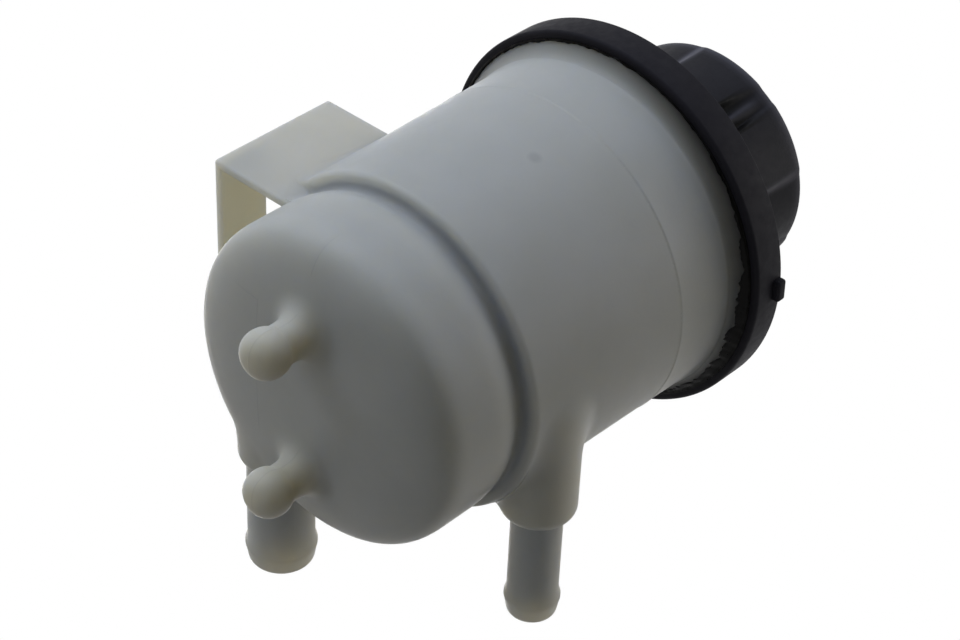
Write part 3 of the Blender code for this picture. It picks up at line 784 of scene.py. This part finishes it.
def cover_lug():
    """The small block on the skirt, just below the deck."""
    high = COVER_DECK_Z - LUG_DROP
    bm = block((COVER_RADIUS - COVER_THICK, -LUG_WIDTH / 2, high - LUG_HEIGHT),
               (COVER_RADIUS + LUG_REACH, LUG_WIDTH / 2, high), LUG_ROUND, segments=4)
    bmesh.ops.rotate(bm, cent=(0, 0, 0), verts=bm.verts,
                     matrix=Matrix.Rotation(math.radians(LUG_ANGLE), 3, "Z"))
    return make_piece("cover_lug", bm)


def cover_outline():
    """Neck, raised step, deck and skirt outside, then back inside past a rib."""
    soft = COVER_SOFT
    rib = FLANGE_RADIUS - RIB_INSET
    profile = [(NECK_INNER + soft, NECK_TOP_Z), (NECK_RADIUS - soft, NECK_TOP_Z),
               (NECK_RADIUS, NECK_TOP_Z - soft), (NECK_RADIUS, COVER_STEP_Z + NECK_FOOT_ROUND)]
    profile += arc(NECK_RADIUS + NECK_FOOT_ROUND, COVER_STEP_Z + NECK_FOOT_ROUND,
                   NECK_FOOT_ROUND, 180.0, 270.0, 4)
    profile += arc(COVER_STEP_RADIUS - COVER_ROUND, COVER_STEP_Z - COVER_ROUND, COVER_ROUND,
                   90.0, 10.0, 5)
    profile += [(COVER_STEP_RADIUS + STEP_FOOT_NEAR, COVER_DECK_Z + soft),
                (COVER_STEP_RADIUS + STEP_FOOT_FAR, COVER_DECK_Z)]
    profile += arc(COVER_RADIUS - SKIRT_TOP_ROUND, COVER_DECK_Z - SKIRT_TOP_ROUND,
                   SKIRT_TOP_ROUND, 90.0, 0.0, 3)
    profile += arc(COVER_RADIUS - SKIRT_FOOT_ROUND, COVER_LOW_Z + SKIRT_FOOT_ROUND,
                   SKIRT_FOOT_ROUND, 0.0, -90.0, 10)
    profile += arc(SKIRT_INNER + soft, COVER_LOW_Z + soft, soft, -90.0, -180.0, 3)
    profile += [(SKIRT_INNER, DECK_UNDERSIDE_Z), (rib, DECK_UNDERSIDE_Z),
                (rib, BOTTLE_TOP_Z + soft), (rib - RIB_WIDTH, BOTTLE_TOP_Z + soft),
                (rib - RIB_WIDTH, DECK_UNDERSIDE_Z), (COVER_STEP_RADIUS, DECK_UNDERSIDE_Z),
                (COVER_STEP_RADIUS - COVER_THICK, STEP_UNDERSIDE_Z),
                (NECK_INNER, STEP_UNDERSIDE_Z), (NECK_INNER, NECK_TOP_Z - soft)]
    return profile


def make_cover(material):
    """The welded cover with its lug and its threaded neck."""
    cover = make_piece("cover_moulding", turned(cover_outline(), steps=192, closed=True))
    combine(cover, [cover_lug(), neck_thread()], "UNION", "EXACT")
    shade(cover, COVER_EDGE)
    return dress(cover, material, "reservoir", "cover", "top_cover")


def ragged(angle, size, seed):
    """Uneven from -1 to 1 round the ring, in lumps of about size metres."""
    reach = FLANGE_RADIUS / size
    return noise_value(Vector((reach * math.cos(angle), reach * math.sin(angle), seed)))


def weld_reach(angle):
    """How far the weld has run down the flare at an angle in radians, in metres."""
    turn = math.degrees(angle)
    from_thick = (turn - WELD_THICK_AT + 180.0) % 360.0 - 180.0
    thick = math.exp(-(from_thick / WELD_THICK_WIDTH) ** 2)
    lumps = sum(kind["share"] * ragged(angle, kind["size"], kind["seed"])
                for kind in (WELD_LUMPS, WELD_FINE_LUMPS))
    return max(WELD_THIN + WELD_THICK * thick + WELD_RAGGED * (0.5 + thick) * lumps,
               WELD_LEAST)


def weld_place(angle, row):
    """The (radius, height) of a row of the weld, counted inwards from the skirt's foot.
    The last two rows end inside the flare."""
    outer = SKIRT_INNER + WELD_OVERLAP
    inner = outer - WELD_OVERLAP - weld_reach(angle)
    if row >= WELD_ROWS:
        return inner + WELD_TUCK, COVER_LOW_Z + WELD_BURIED
    share = row / (WELD_ROWS - 1)
    near = outer + (inner - outer) * share
    if row == WELD_ROWS - 1:
        return near, flare_height(near) + WELD_EDGE_SUNK
    lump = 1.0 + 0.5 * ragged(angle, WELD_SWELL_SIZE, WELD_SWELL_SEED + share)
    turn = math.pi * min(WELD_SWELL_START + share * WELD_SWELL_SPAN, 1.0)
    return near, flare_height(near) - WELD_HEIGHT * lump * math.sin(turn) ** WELD_FULLNESS


def make_weld_flash(material):
    """The ragged weld squeezed out from the skirt's foot over the top of the flare."""
    outer = SKIRT_INNER + WELD_OVERLAP
    buried = COVER_LOW_Z + WELD_BURIED
    profile = [(outer, buried)]
    profile += [(outer - WELD_ROW * (i + 1), COVER_LOW_Z) for i in range(WELD_ROWS)]
    profile.append((outer - WELD_ROW * (WELD_ROWS + 2), buried))
    bm = turned(profile, steps=720, closed=True)
    for vert in bm.verts:
        angle = math.atan2(vert.co.y, vert.co.x)
        row = round((outer - math.hypot(vert.co.x, vert.co.y)) / WELD_ROW) - 1
        if row >= 0:
            radius, height = weld_place(angle, row)
            vert.co = Vector((radius * math.cos(angle), radius * math.sin(angle), height))
    bmesh.ops.recalc_face_normals(bm, faces=bm.faces[:])
    flash = make_piece("weld_flash", bm)
    shade(flash, WELD_EDGE)
    return dress(flash, material, "reservoir", "cover")


def from_grip(angle):
    """Degrees from the middle of the nearest lobe, on either side."""
    pitch = 360.0 / CAP_LOBES
    return (math.degrees(angle) - CAP_LOBE_DIRECTION + pitch / 2) % pitch - pitch / 2


def grip_hollow(angle, height):
    """How far the cap's grip wall is hollowed at an angle in radians and a height."""
    turn = from_grip(angle)
    rim = CAP_TOP_Z - CAP_ROUND
    down = min(max((rim - height) / (rim - CAP_LOW_Z), 0.0), 1.0)
    scoop = SCOOP_RIM_DEPTH + SCOOP_DEPTH * down
    scoop *= eased((abs(turn) - CAP_LOBE_HALF) / SCOOP_SIDE)
    half = GRIP_HALF_RIM + (GRIP_HALF_FOOT - GRIP_HALF_RIM) * down
    deep = min(max((GRIP_HIGH_Z - height) / (GRIP_HIGH_Z - GRIP_LOW_Z), 0.0), 1.0)
    wall = eased((half - abs(turn)) / (GRIP_WALL + GRIP_WALL_SOFT * (1.0 - deep)))
    ridge = eased(abs(turn - GRIP_RIDGE_OFFSET) / GRIP_RIDGE_HALF)
    ridge = GRIP_RIDGE_SHARE + (1.0 - GRIP_RIDGE_SHARE) * ridge
    return scoop + wall * (GRIP_RIM_DEPTH + GRIP_DEPTH * deep * ridge)


def grip_painted_highlight(angle, height):
    """Painted highlight: lighter along the crests, round the rim and on each grip's ridge."""
    turn = from_grip(angle)
    past_crest = abs(turn) - CAP_LOBE_HALF - SCOOP_SIDE * HIGHLIGHT_CREST_AT
    crest = math.exp(-(past_crest / HIGHLIGHT_CREST) ** 2)
    ridge = math.exp(-((turn - GRIP_RIDGE_OFFSET + HIGHLIGHT_RIDGE_SHIFT) / HIGHLIGHT_RIDGE) ** 2)
    ridge *= eased((GRIP_HIGH_Z - height) / (HIGHLIGHT_RIDGE_FADE * (GRIP_HIGH_Z - GRIP_LOW_Z)))
    rim = math.exp(-((height - CAP_TOP_Z + HIGHLIGHT_RIM_AT * CAP_ROUND) / HIGHLIGHT_RIM) ** 2)
    return max(min(HIGHLIGHT_CREST_GAIN * crest, 1.0), HIGHLIGHT_RIDGE_SHARE * ridge,
               HIGHLIGHT_RIM_SHARE * rim)


def grip_painted_shade(angle, height):
    """Painted shade: darkest deep in the channels beside each ridge."""
    turn = from_grip(angle)
    channel = eased((GRIP_HALF_FOOT - abs(turn)) / CHANNEL_EDGE)
    channel *= eased((abs(turn - GRIP_RIDGE_OFFSET) - CHANNEL_FROM_RIDGE) / CHANNEL_SOFT)
    return channel * eased(CHANNEL_RISE * (GRIP_HIGH_Z - height) / (GRIP_HIGH_Z - GRIP_LOW_Z))


def mark(bm, name, amount):
    """Keeps an amount from 0 to 1 on the cap's outer vertices, for the material to read."""
    layer = bm.verts.layers.float.new(name)
    for vert in bm.verts:
        outer = eased((math.hypot(vert.co.x, vert.co.y) - CAP_INNER) / PAINT_REACH)
        vert[layer] = outer * amount(math.atan2(vert.co.y, vert.co.x), vert.co.z)


def cap_outline():
    """The shallow dish on top, the rim, the plain grip wall, and the hollow inside."""
    dish = CAP_TOP_Z - DISH_DEPTH
    rim = CAP_TOP_Z - CAP_ROUND
    foot = CAP_FOOT_ROUND
    profile = [(0.0, dish), (DISH_RADIUS - DISH_DEPTH, dish)]
    profile += arc(DISH_RADIUS, dish, DISH_DEPTH, 165.0, 90.0, 4)
    profile += arc(CAP_RADIUS - CAP_ROUND, rim, CAP_ROUND, 90.0, 0.0, 10)
    wall = rim - CAP_LOW_Z - foot
    profile += [(CAP_RADIUS, rim - wall * i / CAP_WALL_ROWS) for i in range(1, CAP_WALL_ROWS)]
    profile += arc(CAP_RADIUS - foot, CAP_LOW_Z + foot, foot, 0.0, -90.0, 3)
    profile += [(CAP_INNER + CAP_INNER_ROUND, CAP_LOW_Z),
                (CAP_INNER, CAP_LOW_Z + CAP_INNER_ROUND), (CAP_INNER, CAP_ROOF_Z),
                (0.0, CAP_ROOF_Z)]
    return profile


def make_cap(material):
    """The cap's shell with its lobes, the scoops between them and the grips."""
    bm = turned(cap_outline(), steps=720)
    grip_from = CAP_RADIUS - CAP_ROUND
    for vert in bm.verts:
        radius = math.hypot(vert.co.x, vert.co.y)
        if radius > grip_from - MERGE:
            share = min((radius - grip_from) / CAP_ROUND * GRIP_TAKEUP, 1.0)
            if vert.co.z < CAP_TOP_Z - CAP_ROUND:
                share = 1.0
            hollow = grip_hollow(math.atan2(vert.co.y, vert.co.x), vert.co.z) * share
            vert.co.xy *= (radius - hollow) / radius
    # Painted highlight along the crests, round the rim and on the grip ridges
    mark(bm, "painted_highlight_share", grip_painted_highlight)
    # Painted shade deep in the grip channels
    mark(bm, "depth", grip_painted_shade)
    bmesh.ops.recalc_face_normals(bm, faces=bm.faces[:])
    cap = make_piece("cap_grip", bm)
    shade(cap, CAP_EDGE)
    return dress(cap, material, "cap", "cap", "cap_shell")


# ---- nodes of a material or of the world ----

def feed(owner, socket, value):
    """Links a node's output to a socket, or sets the socket to a number or a colour."""
    if isinstance(value, bpy.types.NodeSocket):
        owner.node_tree.links.new(value, socket)
    elif socket.type == "RGBA":
        socket.default_value = (*value, 1.0)
    else:
        socket.default_value = value


def put(owner, node, **inputs):
    """Feeds a node's inputs by name."""
    for name, value in inputs.items():
        feed(owner, node.inputs[name.replace("_", " ")], value)
    return node


def add(owner, kind, **inputs):
    """A new node with its inputs fed."""
    return put(owner, owner.node_tree.nodes.new(kind), **inputs)


def reckoned(owner, operation, *values):
    """The result of a sum on one or two values."""
    node = add(owner, "ShaderNodeMath")
    node.operation = operation
    for socket, value in zip(node.inputs, values):
        feed(owner, socket, value)
    return node.outputs["Value"]


def both(owner, first, second):
    """High only where both values are."""
    return reckoned(owner, "MULTIPLY", first, second)


def either(owner, first, second):
    """High where one value or the other is."""
    return reckoned(owner, "MAXIMUM", first, second)


def measured(material, operation, place, other):
    """A distance or a dot product between the place and a fixed point or direction."""
    node = add(material, "ShaderNodeVectorMath", Vector=place)
    node.operation = operation
    node.inputs[1].default_value = other
    return node.outputs["Value"]


def noise(material, place, scale, detail=3.0, roughness=0.5):
    """Soft noise about 0.5."""
    node = add(material, "ShaderNodeTexNoise", Vector=place, Scale=scale, Detail=detail,
               Roughness=roughness)
    return node.outputs["Fac"]


def ramp(material, value, stretch, low, high):
    """From low to high while a value passes over a stretch, and level beyond it."""
    node = add(material, "ShaderNodeMapRange", Value=value, From_Min=stretch[0],
               From_Max=stretch[1], To_Min=low, To_Max=high)
    return node.outputs["Result"]


def rising(material, value, stretch):
    """From 0 to 1 over a stretch."""
    return ramp(material, value, stretch, 0.0, 1.0)


def falling(material, value, stretch):
    """From 1 to 0 over a stretch."""
    return ramp(material, value, stretch, 1.0, 0.0)


def nearness(material, value, middle, half):
    """1 where a value is at the middle, falling to 0 half away on either side."""
    away = reckoned(material, "ABSOLUTE", reckoned(material, "SUBTRACT", value, middle))
    return falling(material, away, (0.0, half))


def patches(material, place, scale, low=0.0, high=1.0):
    """Soft clouds between two values."""
    return ramp(material, noise(material, place, scale), PATCH_SPREAD, low, high)


def mix(material, share, first, second):
    """A colour between two, by a share from 0 to 1."""
    node = material.node_tree.nodes.new("ShaderNodeMix")
    node.data_type = "RGBA"
    feed(material, node.inputs["Factor"], share)
    feed(material, node.inputs[6], first)
    feed(material, node.inputs[7], second)
    return node.outputs[2]


def bumped(material, height, strength, distance, **under):
    """A surface raised by a height, over another one where that is given as its Normal."""
    node = add(material, "ShaderNodeBump", Strength=strength, Distance=distance, Height=height,
               **under)
    return node.outputs["Normal"]


# ---- finishes ----

def new_material(name, color, roughness):
    """A plain material and its shader."""
    material = bpy.data.materials.new(name)
    material.use_nodes = True
    shader = material.node_tree.nodes["Principled BSDF"]
    put(material, shader, Base_Color=color, Roughness=roughness)
    return material, shader


def object_place(material):
    """The place on the piece, in metres."""
    return add(material, "ShaderNodeTexCoord").outputs["Object"]


def mould_lines(material, across, out, up):
    """Fine lines left by the mould on the rounded bottom: the parting line and a panel."""
    shown = either(material, falling(material, across, PARTING_FAR_X),
                   falling(material, up, PARTING_LOW_Z))
    parting = both(material, nearness(material, out, 0.0, LINE_HALF),
                   both(material, falling(material, up, PARTING_TOP_Z), shown))
    along = both(material, rising(material, across, PANEL_START_X),
                 falling(material, across, PANEL_END_X))
    long_side = both(material, nearness(material, out, PANEL_Y, LINE_HALF), along)
    outwards = both(material, rising(material, out, PANEL_START_Y),
                    falling(material, out, PANEL_END_Y))
    short_side = both(material, nearness(material, across, PANEL_X, LINE_HALF), outwards)
    panel = both(material, either(material, long_side, short_side),
                 falling(material, up, PANEL_TOP_Z))
    return either(material, parting, panel)


def painted_weld_shade(material, place, up):
    """Painted shade: the flare darkened under the skirt and weld, most where the weld is thick.
    """
    flare = rising(material, up, (COLLAR_Z - WELD_SHADE_DROP, FLARE_TOP_Z))
    thick = math.radians(WELD_THICK_AT)
    side = measured(material, "DOT_PRODUCT", place, (math.cos(thick), math.sin(thick), 0.0))
    return both(material, flare, ramp(material, side, WELD_SHADE_SIDE, WELD_SHADE_LEAST, 1.0))


def milky_plastic():
    """Milky translucent plastic: mould lines, one speck, and painted shade under the weld."""
    material, shader = new_material("milky_plastic", MILK_PLAIN, MILK_ROUGHNESS)
    place = object_place(material)
    sides = add(material, "ShaderNodeSeparateXYZ", Vector=place).outputs
    lines = mould_lines(material, sides["X"], sides["Y"], sides["Z"])
    tone = mix(material, patches(material, place, scale=60.0), MILK_DARK, MILK_PALE)
    tone = mix(material, both(material, lines, MILK_LINE_SHARE), tone, MILK_LINE)
    speck = ramp(material, measured(material, "DISTANCE", place, SPECK),
                 (SPECK_HALF * SPECK_CORE, SPECK_HALF), SPECK_SHARE, 0.0)
    tone = mix(material, speck, tone, MILK_SPECK)
    # Painted shade on the flare under the skirt and the weld
    tone = mix(material, painted_weld_shade(material, place, sides["Z"]), tone, MILK_WELD_SHADE)
    sheen = ramp(material, noise(material, place, scale=400.0), PATCH_SPREAD, *MILK_SHEEN)
    grain = bumped(material, noise(material, place, scale=900.0, **MOULDED), strength=0.2,
                   distance=GRAIN_HEIGHT)
    raised = bumped(material, lines, strength=0.7, distance=MILK_LINE_HEIGHT, Normal=grain)
    put(material, shader, Base_Color=tone, Roughness=sheen, Normal=raised,
        Specular_IOR_Level=MILK_SHINE, Subsurface_Weight=1.0,
        Subsurface_Radius=MILK_SCATTER, Subsurface_Scale=MILK_SCATTER_SCALE)
    return material


def black_plastic(name, color, roughness, grain, shine, painted_highlight=None):
    """Black moulded plastic, with painted highlights and painted shade on the cap's grips."""
    material, shader = new_material(name, color, roughness)
    place = object_place(material)
    lighter = tuple(c * CLOUD_LIGHTER for c in color)
    tone = mix(material, patches(material, place, scale=120.0), color, lighter)
    # Painted highlight, then painted shade, from amounts kept on the cap's vertices
    if painted_highlight:
        for kept, shade_of in (("painted_highlight_share", painted_highlight), ("depth", CHANNEL_PAINTED_SHADE)):
            amount = add(material, "ShaderNodeAttribute")
            amount.attribute_name = kept
            tone = mix(material, amount.outputs["Fac"], tone, shade_of)
    sheen = ramp(material, noise(material, place, scale=500.0), PATCH_SPREAD,
                 roughness - 0.05, roughness + 0.06)
    raised = bumped(material, noise(material, place, scale=1400.0, **MOULDED), strength=grain,
                    distance=GRAIN_HEIGHT)
    put(material, shader, Base_Color=tone, Roughness=sheen, Normal=raised,
        Specular_IOR_Level=shine)
    return material


def seal_rubber():
    """Black rubber, faintly dusty."""
    material, shader = new_material("seal_rubber", RUBBER_PLAIN, roughness=0.8)
    place = object_place(material)
    dust = rising(material, noise(material, place, scale=300.0), DUST_SPREAD)
    put(material, shader, Base_Color=mix(material, dust, RUBBER_DARK, RUBBER_DUSTY),
        Normal=bumped(material, noise(material, place, scale=1200.0), strength=0.3,
                      distance=GRAIN_HEIGHT))
    return material


def frame_plastic():
    """Off-white moulded plastic."""
    material, shader = new_material("frame_plastic", FRAME_PLAIN, roughness=0.5)
    place = object_place(material)
    cloud = patches(material, place, scale=150.0)
    put(material, shader, Base_Color=mix(material, cloud, FRAME_DARK, FRAME_PALE),
        Normal=bumped(material, noise(material, place, scale=1000.0), strength=0.2,
                      distance=GRAIN_HEIGHT))
    return material


def screen_weave():
    """Fine threads both ways over darker holes."""
    material, shader = new_material("screen_weave", SCREEN_PLAIN, roughness=0.55)
    place = object_place(material)
    threads = []
    for direction in ("X", "Y"):
        node = add(material, "ShaderNodeTexWave", Vector=place, Scale=SCREEN_THREADS)
        node.bands_direction = direction
        threads.append(node.outputs["Fac"])
    weave = either(material, *threads)
    put(material, shader, Base_Color=mix(material, weave, SCREEN_HOLE, SCREEN_THREAD),
        Normal=bumped(material, weave, strength=0.6, distance=SCREEN_HEIGHT))
    return material


def paint_node(name, material):
    """Gives a material to a CAD node that keeps its shape."""
    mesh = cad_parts[name].data
    mesh.materials.clear()
    mesh.materials.append(material)


# ---- room, light and camera ----

def make_floor():
    """A wide floor far below that keeps the object's shadow. Its glow is seen by the camera
    and in reflections only, and lights nothing."""
    bm = bmesh.new()
    bmesh.ops.create_grid(bm, x_segments=8, y_segments=8, size=FLOOR_SIZE)
    bmesh.ops.translate(bm, vec=(0.0, 0.0, FLOOR_Z), verts=bm.verts)
    floor = make_piece("floor", bm)
    material, shader = new_material("pale_floor", FLOOR_COLOR, roughness=0.9)
    path = add(material, "ShaderNodeLightPath").outputs
    seen = either(material, path["Is Camera Ray"], path["Is Glossy Ray"])
    put(material, shader, Emission_Color=WHITE,
        Emission_Strength=both(material, seen, FLOOR_LOOK))
    floor.data.materials.append(material)


def make_world():
    """Faint light from all round, and plain white where the camera sees past the object."""
    world = bpy.data.worlds.new("room")
    bpy.context.scene.world = world
    world.use_nodes = True
    world.node_tree.nodes.clear()
    path = add(world, "ShaderNodeLightPath").outputs
    seen = either(world, path["Is Camera Ray"], path["Is Glossy Ray"])
    seen = either(world, seen, path["Is Transmission Ray"])
    faint = add(world, "ShaderNodeBackground", Color=WORLD_COLOR, Strength=WORLD_LEVEL)
    white = add(world, "ShaderNodeBackground", Color=WHITE, Strength=1.0)
    choose = add(world, "ShaderNodeMixShader", Fac=seen)
    feed(world, choose.inputs[1], faint.outputs["Background"])
    feed(world, choose.inputs[2], white.outputs["Background"])
    add(world, "ShaderNodeOutputWorld", Surface=choose.outputs["Shader"])


def make_lamp(name, azimuth, elevation, power, color):
    """A round soft lamp that looks at the object."""
    flat = math.cos(math.radians(elevation))
    towards = Vector((flat * math.cos(math.radians(azimuth)),
                      flat * math.sin(math.radians(azimuth)),
                      math.sin(math.radians(elevation))))
    light = bpy.data.lights.new(name, "AREA")
    light.shape = "DISK"
    light.size = LAMP_SIZE
    light.energy = power
    light.color = color
    lamp = bpy.data.objects.new(name, light)
    lamp.location = Vector((0.0, 0.0, LAMP_AIM_Z)) + towards * LAMP_DISTANCE
    lamp.rotation_euler = (-towards).to_track_quat("-Z", "Y").to_euler()
    bpy.context.scene.collection.objects.link(lamp)


def make_camera():
    """The photograph's camera."""
    lens = bpy.data.cameras.new("photograph")
    lens.sensor_fit = "HORIZONTAL"
    lens.sensor_width = VIEW_SENSOR
    lens.lens = VIEW_LENS
    lens.clip_start = VIEW_NEAR
    camera = bpy.data.objects.new("photograph", lens)
    right = VIEW_AHEAD.cross(VIEW_UP)
    turn = Matrix((right, VIEW_UP, -VIEW_AHEAD)).transposed().to_4x4()
    camera.matrix_world = Matrix.Translation(VIEW_PLACE) @ turn
    bpy.context.scene.collection.objects.link(camera)
    bpy.context.scene.camera = camera


def main():
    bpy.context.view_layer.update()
    make_camera()
    make_floor()
    make_world()
    for name, lamp in LAMPS.items():
        make_lamp(name, *lamp)
    make_bottle(milky_plastic())
    make_cover(black_plastic("cover_plastic", **COVER_LOOK))
    make_weld_flash(black_plastic("weld_plastic", **WELD_LOOK))
    make_cap(black_plastic("cap_plastic", **CAP_LOOK))
    paint_node("cap_insert", black_plastic("insert_plastic", **INSERT_LOOK))
    paint_node("cap_seal", seal_rubber())
    paint_node("filter_frame", frame_plastic())
    paint_node("filter_screen", screen_weave())
    bpy.context.scene.view_settings.view_transform = "Standard"


main()
